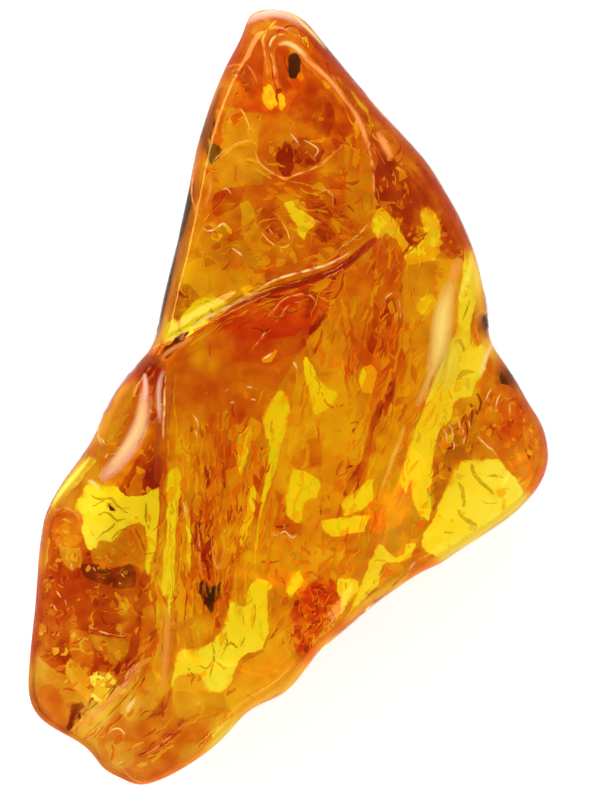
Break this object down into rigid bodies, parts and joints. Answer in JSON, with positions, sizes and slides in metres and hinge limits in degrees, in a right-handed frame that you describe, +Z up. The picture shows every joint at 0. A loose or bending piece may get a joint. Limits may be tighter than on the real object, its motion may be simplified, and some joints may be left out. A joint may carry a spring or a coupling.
{
  "type": "amber stone",
  "caption": "See-through polished lump of natural amber with a pointed end, overlapping resin folds and a small flat spot that it lies on.",
  "frame": {"origin": "middle of the bounding box, on the surface that the stone lies on", "axes": "+Z up out of the surface, +Y towards the stone's pointed end, +X towards the side lobe on its right seen from above"},
  "size_m": [0.0416, 0.062, 0.0165],
  "materials": {
    "amber": "clear golden to cognac amber, polished"
  },
  "bodies": {
    "root": {"amber_stone": "amber"}
  },
  "joints": []
}
